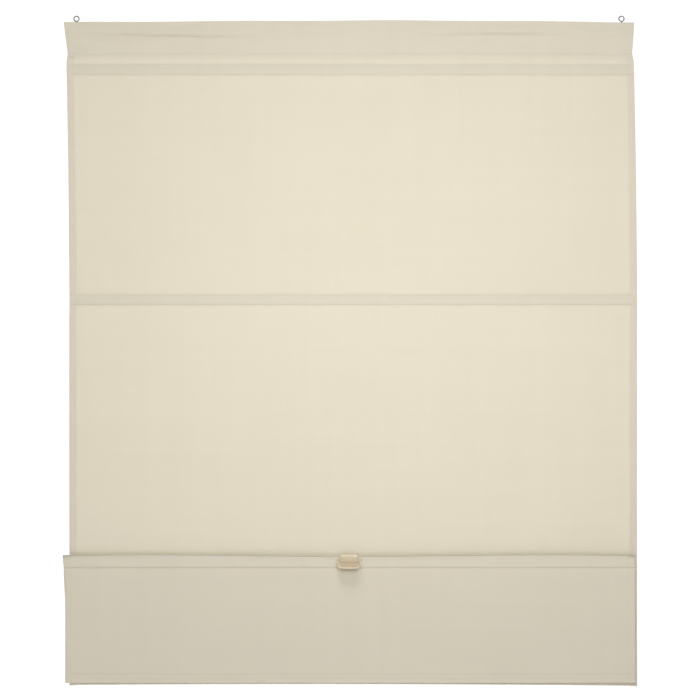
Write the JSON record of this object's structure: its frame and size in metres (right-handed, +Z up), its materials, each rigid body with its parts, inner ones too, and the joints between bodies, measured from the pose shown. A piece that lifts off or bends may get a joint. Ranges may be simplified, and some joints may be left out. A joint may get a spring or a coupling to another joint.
{
  "type": "roman blind",
  "caption": "Hanging roman blind of beige cloth with sewn rod pockets, a top batten with screw eyes and a lifted lowest pleat with a pull handle.",
  "frame": {"origin": "midway between the two screw eyes, at the centres of their rings", "axes": "+Z up, -Y towards the room, +X to the right as seen from the room"},
  "size_m": [1, 0.0366, 1.1789],
  "materials": {
    "blind_cloth": "plain woven cotton, matt, lets some light through",
    "batten_wood": "planed pine",
    "eye_steel": "bright zinc plated",
    "rod_steel": "galvanised strip",
    "magnet_plating": "nickel plated",
    "handle_plastic": "moulded, satin"
  },
  "bodies": {
    "hung_blind": {"top_batten": "batten_wood", "screw_eye_left": "eye_steel", "screw_eye_right": "eye_steel", "cloth_panel": "blind_cloth", "cloth_pleat": "blind_cloth", "rod_pocket_1": "blind_cloth", "rod_pocket_2": "blind_cloth", "rod_pocket_3": "blind_cloth", "steel_rod_1": "rod_steel", "steel_rod_2": "rod_steel", "steel_rod_3": "rod_steel"},
    "bottom_bar": {"cloth_flap": "blind_cloth", "bottom_bar_pocket": "blind_cloth", "bottom_bar_rod": "rod_steel", "bar_magnet_left": "magnet_plating", "bar_magnet_right": "magnet_plating", "pull_handle": "handle_plastic"}
  },
  "joints": [
    {"name": "bar_drop", "type": "slide", "parent": "hung_blind", "child": "bottom_bar", "axis": [0, 0, 1], "range_m": [-0.452, 0], "deforming": ["cloth_pleat"]}
  ]
}
